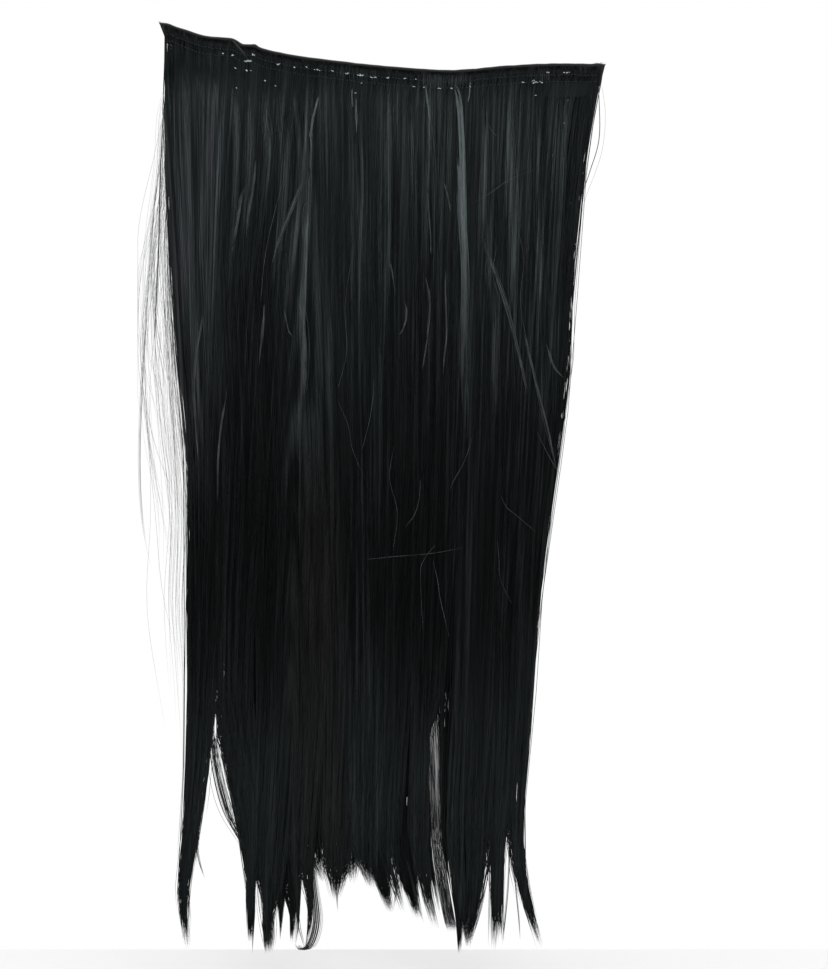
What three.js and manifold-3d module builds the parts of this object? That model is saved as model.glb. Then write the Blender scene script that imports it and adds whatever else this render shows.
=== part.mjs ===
// A one-piece clip-in hair extension: a sewn weft band, two rows of straight hair and five comb clips.
// Millimetres, +Z up, the front of the hair faces -Y. The origin is on the head side of the middle
// clip, where it takes hold, so everything lies in front of the plane y = 0.

import * as THREE from 'three';
import { mergeVertices } from 'three/addons/utils/BufferGeometryUtils.js';
import Module from 'manifold-3d';

const wasm = await Module();
wasm.setup();

// Clearance between pieces that are sewn face to face
const seatGap = 0.3;

// Weft band
const bandWidth = 291;
const bandHeight = 14;
const bandThick = 1.4;
const bandEdge = 0.4;
const rollRadius = 1.1;
const rollSides = 8;
const cornerRise = 28.2;
const bandStations = 26;

// Hair rows
const hairDrop = 573;
const rowThick = 4;
const upperSeam = 5;
const trackMargin = 0.6;
const trackHeight = 2.4;
const trackThick = 0.8;
const rootThick = 1.2;
const rootOverlap = 1.5;
const lockStagger = 0.35;
const tipWidth = 0.9;
const tipThick = 0.6;
const widthHold = 2.5;
const rootFade = 0.06;

// Comb clips
const clipCount = 5;
const clipInset = 24;
const clipLength = 30;
const clipHeight = 11;
const clipPlate = 0.9;
const clipBow = 1;
const lugRadius = 2.6;
const eyeletRadius = 0.8;
const toothWidth = 2;
const toothGap = 1.6;
const slotLength = 15;
const slotHeight = 1.4;
const slotRise = 0.6;
const bowWidth = 2;
const bowInset = 1.1;
const arcSegments = 3;

// Upper edge of the band as it hangs: across is a share of the band's width, rise a share of the
// corner's rise above the middle, and lean how far the lower edge stands to the right, in band heights.
const bandLine = [
  { across: 0.0, rise: 1.0, lean: 0.38 },
  { across: 0.05, rise: 0.86, lean: 0.14 },
  { across: 0.1, rise: 0.7, lean: 0 },
  { across: 0.16, rise: 0.62, lean: 0 },
  { across: 0.22, rise: 0.43, lean: 0 },
  { across: 0.3, rise: 0.25, lean: 0 },
  { across: 0.4, rise: 0.11, lean: 0 },
  { across: 0.5, rise: 0, lean: 0 },
  { across: 0.6, rise: -0.08, lean: 0 },
  { across: 0.67, rise: -0.1, lean: 0 },
  { across: 0.78, rise: 0, lean: 0 },
  { across: 0.9, rise: 0.05, lean: -0.05 },
  { across: 1.0, rise: 0.02, lean: -0.25 },
];

// Sides of the hanging hair: down is a share of the drop, left and right are shares of the band's width.
const hairSides = [
  { down: 0.0, left: 0.016, right: 0.992 },
  { down: 0.04, left: 0.011, right: 0.974 },
  { down: 0.1, left: 0.022, right: 0.958 },
  { down: 0.2, left: 0.023, right: 0.929 },
  { down: 0.3, left: 0.038, right: 0.929 },
  { down: 0.4, left: 0.06, right: 0.906 },
  { down: 0.5, left: 0.074, right: 0.88 },
  { down: 0.6, left: 0.064, right: 0.852 },
  { down: 0.7, left: 0.068, right: 0.841 },
  { down: 0.8, left: 0.063, right: 0.823 },
  { down: 0.86, left: 0.056, right: 0.814 },
  { down: 0.93, left: 0.047, right: 0.834 },
  { down: 1.0, left: 0.068, right: 0.862 },
];

// Locks of each row from left to right. A lock hangs full width to part, a share of the drop, and
// narrows from there to its tip at reach. Its place there, hem, is a share of the room between the
// hair's sides, and so is tip. Bow is how far the narrow stretch swings to the right, and width is
// the lock's width where it parts, both as shares of the band's width.
const upperLocks = [
  { hem: 0.0, tip: 0.0, bow: 0.0, part: 0.75, reach: 0.995, width: 0.056 },
  { hem: 0.083, tip: 0.185, bow: 0.042, part: 0.75, reach: 0.986, width: 0.076 },
  { hem: 0.225, tip: 0.228, bow: 0.0, part: 0.9, reach: 0.99, width: 0.076 },
  { hem: 0.336, tip: 0.308, bow: 0.018, part: 0.91, reach: 0.997, width: 0.049 },
  { hem: 0.45, tip: 0.441, bow: 0.0, part: 0.885, reach: 0.938, width: 0.06 },
  { hem: 0.54, tip: 0.547, bow: 0.0, part: 0.88, reach: 0.925, width: 0.056 },
  { hem: 0.61, tip: 0.632, bow: 0.0, part: 0.87, reach: 0.955, width: 0.049 },
  { hem: 0.713, tip: 0.712, bow: 0.0, part: 0.87, reach: 0.97, width: 0.049 },
  { hem: 0.889, tip: 0.787, bow: 0.005, part: 0.88, reach: 0.992, width: 0.096 },
  { hem: 0.952, tip: 0.857, bow: 0.008, part: 0.84, reach: 1.0, width: 0.034 },
  { hem: 1.0, tip: 1.0, bow: -0.006, part: 0.86, reach: 0.997, width: 0.031 },
];
const lowerLocks = [
  { hem: 0.0, tip: 0.055, bow: -0.01, part: 0.72, reach: 0.9, width: 0.049 },
  { hem: 0.13, tip: 0.214, bow: 0.02, part: 0.8, reach: 1.0, width: 0.071 },
  { hem: 0.291, tip: 0.294, bow: 0.0, part: 0.9, reach: 0.986, width: 0.062 },
  { hem: 0.388, tip: 0.41, bow: 0.0, part: 0.885, reach: 0.918, width: 0.062 },
  { hem: 0.493, tip: 0.495, bow: 0.0, part: 0.885, reach: 0.92, width: 0.062 },
  { hem: 0.569, tip: 0.593, bow: 0.0, part: 0.875, reach: 0.952, width: 0.054 },
  { hem: 0.655, tip: 0.668, bow: 0.0, part: 0.87, reach: 0.96, width: 0.054 },
  { hem: 0.762, tip: 0.74, bow: 0.0, part: 0.86, reach: 0.962, width: 0.045 },
  { hem: 0.853, tip: 0.747, bow: 0.0, part: 0.87, reach: 1.0, width: 0.067 },
  { hem: 0.96, tip: 0.888, bow: 0.0, part: 0.83, reach: 0.989, width: 0.045 },
];

// Sections of a lock: first along the full stretch above the parting, then along the narrow one.
// Thick is a share of the row's thickness.
const hangSections = [
  { along: 0.0, thick: 0 },
  { along: 0.012, thick: 0 },
  { along: 0.09, thick: 0.55 },
  { along: 0.25, thick: 0.9 },
  { along: 0.45, thick: 1 },
  { along: 0.65, thick: 1 },
  { along: 0.85, thick: 0.95 },
];
const partSections = [
  { along: 0.0, thick: 0.9 },
  { along: 0.25, thick: 0.8 },
  { along: 0.5, thick: 0.65 },
  { along: 0.75, thick: 0.45 },
  { along: 0.92, thick: 0.25 },
  { along: 1.0, thick: 0 },
];

// Cross section of a lock, in half widths to the right and half thicknesses to the back
const lockSection = [
  { right: -1, back: 0 },
  { right: -0.72, back: 0.78 },
  { right: 0, back: 1 },
  { right: 0.72, back: 0.78 },
  { right: 1, back: 0 },
  { right: 0.72, back: -0.78 },
  { right: 0, back: -1 },
  { right: -0.72, back: -0.78 },
];

// Layers from the head to the front, as y
const clipFace = -(clipPlate + clipBow);
const bandBack = clipFace - seatGap;
const bandFront = bandBack - bandThick;
const trackBack = bandFront - seatGap;
const lowerFront = trackBack - trackThick;
const upperBack = lowerFront - seatGap;

// Depth of the lower seam below the band's upper edge, which puts its track just inside the band
const lowerSeam = bandHeight - trackMargin - trackHeight;

// Smooth value of one column of a table at a place between its rows
function valueAt(table, key, column, at) {
  const place = THREE.MathUtils.clamp(at, table[0][key], table[table.length - 1][key]);
  let row = 0;
  while (row < table.length - 2 && place > table[row + 1][key]) {
    row += 1;
  }
  const before = table[Math.max(row - 1, 0)];
  const from = table[row];
  const to = table[row + 1];
  const after = table[Math.min(row + 2, table.length - 1)];
  const step = to[key] - from[key];
  const t = (place - from[key]) / step;
  const slopeFrom = (step * (to[column] - before[column])) / (to[key] - before[key]);
  const slopeTo = (step * (after[column] - from[column])) / (after[key] - from[key]);
  const rise = to[column] - from[column];
  const bend = slopeFrom + slopeTo - 2 * rise;
  const turn = 3 * rise - 2 * slopeFrom - slopeTo;
  return from[column] + t * (slopeFrom + t * (turn + t * bend));
}

function smoothMix(from, to, t) {
  return THREE.MathUtils.lerp(from, to, THREE.MathUtils.smoothstep(t, 0, 1));
}

// Height of the band's upper edge at an x
function bandTop(x) {
  return bandHeight / 2 + cornerRise * valueAt(bandLine, 'across', 'rise', x / bandWidth + 0.5);
}

// Left and right side of the hanging hair at a share of the drop, as x
function sidesAt(down) {
  const left = (valueAt(hairSides, 'down', 'left', down) - 0.5) * bandWidth;
  const right = (valueAt(hairSides, 'down', 'right', down) - 0.5) * bandWidth;
  return { left, room: right - left };
}

// Closed body through convex rings with an even count of points. Each ring turns counter-clockwise
// seen from the next, and the two end caps are strips from side to side.
function loft(rings) {
  const count = rings[0].length;
  const indices = [];
  for (let r = 0; r < rings.length - 1; r += 1) {
    for (let i = 0; i < count; i += 1) {
      const next = (i + 1) % count;
      const here = r * count;
      const there = here + count;
      indices.push(here + i, here + next, there + next);
      indices.push(here + i, there + next, there + i);
    }
  }
  const last = (rings.length - 1) * count;
  for (let i = 0; i < count / 2; i += 1) {
    const other = (count - i) % count;
    const otherNext = count - i - 1;
    if (i + 1 !== otherNext) {
      indices.push(i, otherNext, i + 1);
      indices.push(last + i, last + i + 1, last + otherNext);
    }
    if (i !== other) {
      indices.push(i, other, otherNext);
      indices.push(last + i, last + otherNext, last + other);
    }
  }
  const geometry = new THREE.BufferGeometry();
  geometry.setAttribute('position', new THREE.Float32BufferAttribute(rings.flat(2), 3));
  geometry.setIndex(indices);
  return geometry;
}

function toSolid(geometry) {
  const bare = geometry.clone();
  bare.deleteAttribute('normal');
  bare.deleteAttribute('uv');
  const merged = mergeVertices(bare);
  const vertProperties = new Float32Array(merged.attributes.position.array);
  const triVerts = new Uint32Array(merged.index.array);
  return new wasm.Manifold(new wasm.Mesh({ numProp: 3, vertProperties, triVerts }));
}

// One body from geometries that run into each other
function fuse(geometries) {
  const solids = geometries.map(toSolid);
  const whole = solids.reduce((sum, solid) => sum.add(solid));
  const mesh = whole.getMesh();
  const geometry = new THREE.BufferGeometry();
  geometry.setAttribute('position', new THREE.Float32BufferAttribute(mesh.vertProperties, 3));
  geometry.setIndex(Array.from(mesh.triVerts));
  geometry.computeVertexNormals();
  return geometry;
}

// Strip along the band's upper edge, from a section of [y, depth below that edge]
function stripAlong(section, start, end) {
  const rings = [];
  for (let i = 0; i <= bandStations; i += 1) {
    const x = THREE.MathUtils.lerp(start, end, i / bandStations);
    const lean = valueAt(bandLine, 'across', 'lean', x / bandWidth + 0.5);
    rings.push(section.map(([y, below]) => [x + lean * below, y, bandTop(x) - below]));
  }
  return loft(rings);
}

// The band: a flat strip with its upper edge rolled forward
function buildBand() {
  const flat = [
    [bandFront, bandHeight - bandEdge],
    [bandFront + bandEdge, bandHeight],
    [bandBack - bandEdge, bandHeight],
    [bandBack, bandHeight - bandEdge],
    [bandBack, rollRadius / 2],
    [bandFront, rollRadius / 2],
  ];
  const roll = [];
  for (let i = 0; i < rollSides; i += 1) {
    const angle = ((i + 0.5) * 2 * Math.PI) / rollSides;
    const y = bandBack - rollRadius + rollRadius * Math.cos(angle);
    roll.push([y, rollRadius - rollRadius * Math.sin(angle)]);
  }
  const start = -bandWidth / 2;
  return fuse([stripAlong(flat, start, -start), stripAlong(roll, start, -start)]);
}

// One lock of a row. Order is its place from 0 at the left to 1 at the right, facing is 1 where the
// row lies behind its flat side and -1 where it lies in front, and flatSide is that side's y.
function buildLock(lock, order, rootWidth, row, stagger) {
  const rings = [];
  const rootDrop = row.seam + trackHeight / 2;

  function addSection(down, centre, width, thick, nearRoot) {
    const y = row.flatSide + row.facing * (thick / 2 + stagger * (1 - nearRoot));
    const seamHere = bandTop(centre) - rootDrop;
    const z = THREE.MathUtils.lerp(-down * hairDrop, seamHere, nearRoot);
    rings.push(
      lockSection.map(({ right, back }) => {
        const x = centre + (right * width) / 2;
        const slope = nearRoot * (bandTop(x) - bandTop(centre));
        return [x, y + (back * thick) / 2, z + slope];
      }),
    );
  }

  const partWidth = lock.width * bandWidth;
  const hemSides = sidesAt(lock.part);
  const hemShare = (partWidth / 2 + lock.hem * (hemSides.room - partWidth)) / hemSides.room;

  for (const { along, thick } of hangSections) {
    const down = along * lock.part;
    const sides = sidesAt(down);
    const width = THREE.MathUtils.lerp(rootWidth * sides.room, partWidth, along ** widthHold);
    const place = smoothMix(order, lock.hem, along);
    const centre = sides.left + width / 2 + place * (sides.room - width);
    const full = THREE.MathUtils.lerp(row.rootThick, rowThick, thick);
    addSection(down, centre, width, full, Math.max(0, 1 - along / rootFade));
  }
  for (const { along, thick } of partSections) {
    const down = THREE.MathUtils.lerp(lock.part, lock.reach, along);
    const sides = sidesAt(down);
    const width = THREE.MathUtils.lerp(partWidth, tipWidth, along);
    const share = THREE.MathUtils.lerp(hemShare, lock.tip, along);
    const swing = lock.bow * bandWidth * Math.sin(along * Math.PI);
    const centre = sides.left + share * sides.room + swing;
    addSection(down, centre, width, THREE.MathUtils.lerp(tipThick, rowThick, thick), 0);
  }
  return loft(rings);
}

// A row of hair: its sewn track with every lock fused to it
function buildRow(locks, row) {
  const sides = sidesAt(0);
  const low = row.seam + trackHeight;
  const track = [
    [row.trackFront, low],
    [trackBack, low],
    [trackBack, row.seam],
    [row.trackFront, row.seam],
  ];
  const rootWidth = rootOverlap / locks.length;
  const bodies = locks.map((lock, i) => {
    const stagger = i % 2 === 0 ? 0 : lockStagger;
    return buildLock(lock, i / (locks.length - 1), rootWidth, row, stagger);
  });
  return fuse([stripAlong(track, sides.left, sides.left + sides.room), ...bodies]);
}

// Middle of a clip's lugs, to each side and above the clip's own middle
const lugSide = clipLength / 2 - lugRadius;
const lugRise = clipHeight / 2 - lugRadius;

// Outline of a clip's plate: a bar with a round lug at each end and comb teeth below it
function plateShape() {
  const barTop = lugRise + lugRadius;
  const barLow = lugRise - lugRadius;
  const toothTurn = -clipHeight / 2 + toothWidth / 2;
  const pitch = toothWidth + toothGap;
  const toothCount = Math.floor((2 * lugSide + toothGap) / pitch);
  const shape = new THREE.Shape();
  shape.moveTo(-lugSide, barLow);
  for (let i = 0; i < toothCount; i += 1) {
    const middle = (i - (toothCount - 1) / 2) * pitch;
    shape.lineTo(middle - toothWidth / 2, barLow);
    shape.absarc(middle, toothTurn, toothWidth / 2, Math.PI, 2 * Math.PI, false);
    shape.lineTo(middle + toothWidth / 2, barLow);
  }
  shape.lineTo(lugSide, barLow);
  shape.absarc(lugSide, lugRise, lugRadius, -Math.PI / 2, Math.PI / 2, false);
  shape.lineTo(-lugSide, barTop);
  shape.absarc(-lugSide, lugRise, lugRadius, Math.PI / 2, 1.5 * Math.PI, false);
  for (const side of [-1, 1]) {
    const eyelet = new THREE.Path();
    eyelet.absarc(side * lugSide, lugRise, eyeletRadius, 0, 2 * Math.PI, true);
    shape.holes.push(eyelet);
  }
  const slot = new THREE.Path();
  const slotTurn = (slotLength - slotHeight) / 2;
  const slotMiddle = lugRise + slotRise;
  slot.absarc(slotTurn, slotMiddle, slotHeight / 2, Math.PI / 2, -Math.PI / 2, true);
  slot.absarc(-slotTurn, slotMiddle, slotHeight / 2, -Math.PI / 2, -1.5 * Math.PI, true);
  shape.holes.push(slot);
  return shape;
}

// The bow that springs across the teeth, from inside one eyelet to the other through the clip's middle
function bowShape() {
  const bowEnd = lugSide - eyeletRadius - bowInset;
  const radius = (bowEnd ** 2 + lugRise ** 2) / (2 * lugRise);
  const reach = Math.asin(bowEnd / radius);
  const down = -Math.PI / 2;
  const shape = new THREE.Shape();
  shape.absarc(0, radius, radius + bowWidth / 2, down - reach, down + reach, false);
  shape.absarc(0, radius, radius - bowWidth / 2, down + reach, down - reach, true);
  return shape;
}

// One clip, the plate to the front and the bow on the head side, whose face is y = 0
function buildClip() {
  const plate = new THREE.ExtrudeGeometry(plateShape(), {
    depth: clipPlate,
    bevelEnabled: false,
    curveSegments: arcSegments,
  });
  plate.rotateX(Math.PI / 2);
  plate.translate(0, -clipBow, 0);
  const bow = new THREE.ExtrudeGeometry(bowShape(), {
    depth: clipBow + clipPlate / 2,
    bevelEnabled: false,
    curveSegments: 2 * arcSegments,
  });
  bow.rotateX(Math.PI / 2);
  return fuse([plate, bow]);
}

const hairBlack = new THREE.MeshStandardMaterial({ color: 0x1c1d1e, roughness: 0.45, metalness: 0 });
const bandBlack = new THREE.MeshStandardMaterial({ color: 0x17181a, roughness: 0.7, metalness: 0 });
const clipBlack = new THREE.MeshStandardMaterial({ color: 0x2a2826, roughness: 0.35, metalness: 0.8 });

const extension = new THREE.Group();

function addPiece(name, geometry, material) {
  const piece = new THREE.Mesh(geometry, material.clone());
  piece.name = name;
  extension.add(piece);
  return piece;
}

const upperRow = {
  seam: upperSeam,
  trackFront: upperBack - rootThick / 2,
  rootThick,
  facing: -1,
  flatSide: upperBack,
};
const lowerRow = {
  seam: lowerSeam,
  trackFront: lowerFront,
  rootThick: trackThick,
  facing: 1,
  flatSide: lowerFront,
};
addPiece('weft_band', buildBand(), bandBlack);
addPiece('hair_row_upper', buildRow(upperLocks, upperRow), hairBlack);
addPiece('hair_row_lower', buildRow(lowerLocks, lowerRow), hairBlack);

const clipRoom = bandWidth - 2 * clipInset;
for (let i = 0; i < clipCount; i += 1) {
  const clip = addPiece(`clip_${i + 1}`, buildClip(), clipBlack);
  const x = -clipRoom / 2 + (clipRoom * i) / (clipCount - 1);
  const rise = bandTop(x + clipLength / 2) - bandTop(x - clipLength / 2);
  clip.position.set(x, 0, bandTop(x) - bandHeight / 2);
  clip.rotation.y = -Math.atan2(rise, clipLength);
}

export default extension;
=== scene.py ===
"""Looks of a one-piece clip-in hair extension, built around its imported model.

Metres, +Z up, the front of the hair faces -Y. Tables and working sizes are in millimetres, and
become metres where a mesh is made.
"""

import math

import bpy
import numpy as np
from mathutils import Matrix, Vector


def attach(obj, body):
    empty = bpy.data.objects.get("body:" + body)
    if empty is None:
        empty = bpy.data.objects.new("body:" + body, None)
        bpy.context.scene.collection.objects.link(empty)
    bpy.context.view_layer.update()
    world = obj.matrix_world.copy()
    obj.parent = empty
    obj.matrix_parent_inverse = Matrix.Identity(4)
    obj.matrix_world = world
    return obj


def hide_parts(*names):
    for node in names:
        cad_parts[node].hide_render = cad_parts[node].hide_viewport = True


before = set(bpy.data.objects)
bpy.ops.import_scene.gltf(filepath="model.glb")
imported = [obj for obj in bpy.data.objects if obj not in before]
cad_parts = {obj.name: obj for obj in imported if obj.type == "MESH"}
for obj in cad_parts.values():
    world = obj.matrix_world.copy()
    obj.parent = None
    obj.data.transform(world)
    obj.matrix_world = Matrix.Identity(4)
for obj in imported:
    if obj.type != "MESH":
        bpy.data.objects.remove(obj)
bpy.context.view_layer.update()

MM = 0.001


def named_rows(columns, *rows):
    """A table: the names of its columns, then its rows."""
    return [dict(zip(columns.split(), row)) for row in rows]


# The model's own sizes, repeated from its source
BAND_WIDTH = 291
BAND_HEIGHT = 14
ROLL_RADIUS = 1.1
CORNER_RISE = 28.2
HAIR_DROP = 573
ROW_THICK = 4
UPPER_SEAM = 5
TRACK_HEIGHT = 2.4
TRACK_THICK = 0.8
ROOT_THICK = 1.2
ROOT_OVERLAP = 1.5
TIP_WIDTH = 0.9
TIP_THICK = 0.6
WIDTH_HOLD = 2.5
CLIP_COUNT = 5
CLIP_INSET = 24
CLIP_LENGTH = 30
LUG_RADIUS = 2.6
LUG_SIDE = 12.4
LUG_RISE = 2.9
PLATE_BACK = -1.0
BAND_BACK = -2.2
BAND_FRONT = -3.6
LOWER_FRONT = -4.7
UPPER_BACK = -5.0
LOWER_SEAM = 11

# Upper edge of the band: across is a share of its width, rise a share of the corner's rise, and lean
# how far the lower edge stands to the right, in band heights
BAND_LINE = named_rows(
    "across rise lean",
    (0.0, 1.0, 0.38),
    (0.05, 0.86, 0.14),
    (0.1, 0.7, 0.0),
    (0.16, 0.62, 0.0),
    (0.22, 0.43, 0.0),
    (0.3, 0.25, 0.0),
    (0.4, 0.11, 0.0),
    (0.5, 0.0, 0.0),
    (0.6, -0.08, 0.0),
    (0.67, -0.1, 0.0),
    (0.78, 0.0, 0.0),
    (0.9, 0.05, -0.05),
    (1.0, 0.02, -0.25),
)

# Kinks of the band's upper edge, at the fold of the tape and at the corners: place, reach, height
BAND_KINKS = [
    (-97.5, 3.0, 0.5), (-91, 2.6, -0.9), (-83.5, 3.0, 0.9), (-139.5, 4.0, 0.9), (141, 3.5, 0.5),
]

# Sides of the hanging hair: down is a share of the drop, left and right are shares of the band's width
HAIR_SIDES = named_rows(
    "down left right",
    (0.0, 0.016, 0.992),
    (0.04, 0.011, 0.974),
    (0.1, 0.022, 0.958),
    (0.2, 0.023, 0.929),
    (0.3, 0.038, 0.929),
    (0.4, 0.06, 0.906),
    (0.5, 0.074, 0.88),
    (0.6, 0.064, 0.852),
    (0.7, 0.068, 0.841),
    (0.8, 0.063, 0.823),
    (0.86, 0.056, 0.814),
    (0.93, 0.047, 0.834),
    (1.0, 0.068, 0.862),
)

# Locks of each row from left to right: where a lock stands at its parting (hem) and at its tip, how
# far it swings between (bow), where it parts and ends as shares of the drop, and its width there
UPPER_LOCKS = named_rows(
    "hem tip bow part reach width",
    (0.0, 0.0, 0.0, 0.75, 0.995, 0.056),
    (0.083, 0.185, 0.042, 0.75, 0.986, 0.076),
    (0.225, 0.228, 0.0, 0.9, 0.99, 0.076),
    (0.336, 0.308, 0.018, 0.91, 0.997, 0.049),
    (0.45, 0.441, 0.0, 0.885, 0.938, 0.06),
    (0.54, 0.547, 0.0, 0.88, 0.925, 0.056),
    (0.61, 0.632, 0.0, 0.87, 0.955, 0.049),
    (0.713, 0.712, 0.0, 0.87, 0.97, 0.049),
    (0.889, 0.787, 0.005, 0.88, 0.992, 0.096),
    (0.952, 0.857, 0.008, 0.84, 1.0, 0.034),
    (1.0, 1.0, -0.006, 0.86, 0.997, 0.031),
)
LOWER_LOCKS = named_rows(
    "hem tip bow part reach width",
    (0.0, 0.038, -0.01, 0.72, 0.9, 0.049),
    (0.13, 0.214, 0.02, 0.8, 1.0, 0.071),
    (0.291, 0.294, 0.0, 0.9, 0.986, 0.062),
    (0.388, 0.41, 0.0, 0.885, 0.918, 0.062),
    (0.493, 0.495, 0.0, 0.885, 0.92, 0.062),
    (0.569, 0.593, 0.0, 0.875, 0.952, 0.054),
    (0.655, 0.668, 0.0, 0.87, 0.96, 0.054),
    (0.762, 0.74, 0.0, 0.86, 0.962, 0.045),
    (0.853, 0.747, 0.0, 0.87, 1.0, 0.067),
    (0.96, 0.888, 0.0, 0.83, 0.989, 0.045),
)
HANG_SECTIONS = named_rows(
    "along thick",
    (0.0, 0.0),
    (0.012, 0.0),
    (0.09, 0.55),
    (0.25, 0.9),
    (0.45, 1.0),
    (0.65, 1.0),
    (0.85, 0.95),
    (1.0, 0.9),
)
PART_SECTIONS = named_rows(
    "along thick",
    (0.0, 0.9),
    (0.25, 0.8),
    (0.5, 0.65),
    (0.75, 0.45),
    (0.92, 0.25),
    (1.0, 0.0),
)

# The two rows: root is how far below the band's edge the hair starts, flat_side the y on which its
# locks lie flat, and facing the way they thicken. fine_ends lists the locks that are cut finer,
# slit_side the lock with the slit, thin_lock the one that thins out behind the stripe, and
# beside_stripe those that bend where the stripe opens
UPPER_ROW = {
    "locks": UPPER_LOCKS, "root": UPPER_SEAM + TRACK_HEIGHT / 2, "flat_side": UPPER_BACK,
    "facing": -1, "root_thick": ROOT_THICK, "fine_ends": (0, 3, 6, 7, 9, 10), "slit_side": 10,
    "thin_lock": None, "beside_stripe": (7, 8),
}
LOWER_ROW = {
    "locks": LOWER_LOCKS, "root": LOWER_SEAM + TRACK_HEIGHT / 2, "flat_side": LOWER_FRONT,
    "facing": 1, "root_thick": TRACK_THICK, "fine_ends": (0, 7, 9), "slit_side": 9,
    "thin_lock": 7, "beside_stripe": (6, 7, 8),
}

# Layers of strands: depth is where their wisps lie in a lock, from -1 at its front to 1 at its back
LAYERS = named_rows(
    "name row node strands shallow deep seed over_band",
    ("hair_upper_surface", UPPER_ROW, "hair_row_upper", 2760, -1.0, -0.35, 11, True),
    ("hair_upper_under", UPPER_ROW, "hair_row_upper", 2600, -0.4, 1.0, 12, False),
    ("hair_lower_surface", LOWER_ROW, "hair_row_lower", 3000, 1.0, 0.35, 13, False),
    ("hair_lower_under", LOWER_ROW, "hair_row_lower", 2600, -1.0, 0.4, 14, False),
)

# Where the stations of a strand stand, as shares of its length, and how far they shift
FALL_STATIONS = [0.018, 0.05, 0.13, 0.25, 0.38, 0.51, 0.64, 0.76, 0.86, 0.93, 0.97, 1.0]
COVER_STATION = 0.008
STATION_SHIFT = 0.4

# The front layer's start on the band: below its edge, how long it takes to leave it, how far in front
COVER_ROOT = 1.3
COVER_FALL = 7.0
COVER_LIFT = 0.45

# Wisps of a lock: strands in one, shift of its place, fill of its room, pinch at its end, swing in
# millimetres, and how much shorter the shortest is
WISP_STRANDS = 15
THIN_WISP_STRANDS = 3
THIN_SHARE = 0.5
FEWEST_WISPS = 3
WISP_SHIFT = 0.35
WISP_FILL = 0.6
WISP_PINCH = (0.45, 1.15)
PINCH_FROM = 0.35
WISP_SWING = 1.0
WISP_TURNS = (0.5, 1.3)
WISP_SHORT = 0.05
STAGGER = 0.35
WAVE_AT_ROOT = 0.15
WAVE_GROWTH = 1.1
FULL_WAVE_WIDTH = 12
NARROW_WAVE = 0.15

# Single strands of a lock
STRAND_RADIUS = 0.19
STRAND_WIDTHS = (0.7, 1.25)
STRAND_TAPER = 0.05
STRAND_POINT = 0.2
DEPTH_SCATTER = 0.12
LENS_EDGE = 0.1
STRAY_SHARE = 0.12
STRAY_REACH = 0.3
OWN_SWING = 0.35
OWN_TURNS = (0.7, 2.2)
ROOT_HOLD = 12
ROOT_SCATTER = (-0.5, 0.4)
CUT_SCATTER = 0.016
BROKEN_SHARE = 0.08
BROKEN_CUT = 0.2
FINE_CUT = 0.11
FRAY = 1.1
FRAY_FROM = 0.8

# Between which heights the wide parting, the stripe, opens
STRIPE_SHUT = -404
STRIPE_OPENS = -430
STRIPE_SPREAD = 3

# Where the hair has parted: the line of the parting (x, z), half its width, and how far the hair
# beside it is pushed together, in millimetres
PARTINGS = named_rows(
    "line half push",
    ([(30, -408), (32, -425), (34, -450), (34.5, -480), (35, -500), (39, -520), (44, -545),
      (46, -575)], 3.8, 10),
    ([(131, -24), (129.5, -40), (128, -56), (126, -74)], 0.6, 3),
    ([(-80, -506), (-79.6, -536), (-82, -572)], 2.6, 8),
    ([(-60, -524), (-62, -545), (-65, -568)], 2.0, 7),
    ([(-50, -522), (-51, -545), (-52.5, -566)], 2.6, 6),
    ([(117, -250), (113, -280), (106, -318)], 0.3, 2.5),
    ([(-107.5, -395), (-108, -425), (-108.5, -432)], 0.5, 3),
)

# The thin veil of hair that hangs in the wide parting, and how the partings open and close
VEIL = {"course": [(31, -385), (34, -430), (35.5, -480), (37.5, -512), (43, -545), (46, -558)],
        "width": 9.5, "hairs": 270, "swing": 0.07, "turns": 1.5, "narrowing": 0.3, "scatter": 1.0}
VEIL_RADIUS = 0.037
PARTING_RUNS_OUT = -560
PARTING_OPENS = 0.15
PARTING_CLOSES = 0.25

# Close-packed cores of the locks: their shares of a lock's width and thickness, where they start
# under the band, and where they end so that the stripe and the slit stay clear. LENS is the section
CORE_WIDTH = 0.8
CORE_THICK = 0.5
CORE_BLEND = 0.08
CORE_UNDER_BAND = 1.5
CORE_END = 0.9
STRIPE_PLACE = 36
STRIPE_CLEAR = 15
STRIPE_FOOT = 0.7
CORE_TAPER = 20
SLIT_TOP = 0.042
SLIT_FOOT = 0.15
CORE_STATIONS = 20
LENS = [(-1, 0), (-0.72, 0.78), (0, 1), (0.72, 0.78), (1, 0), (0.72, -0.78), (0, -1), (-0.72, -0.78)]

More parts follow.
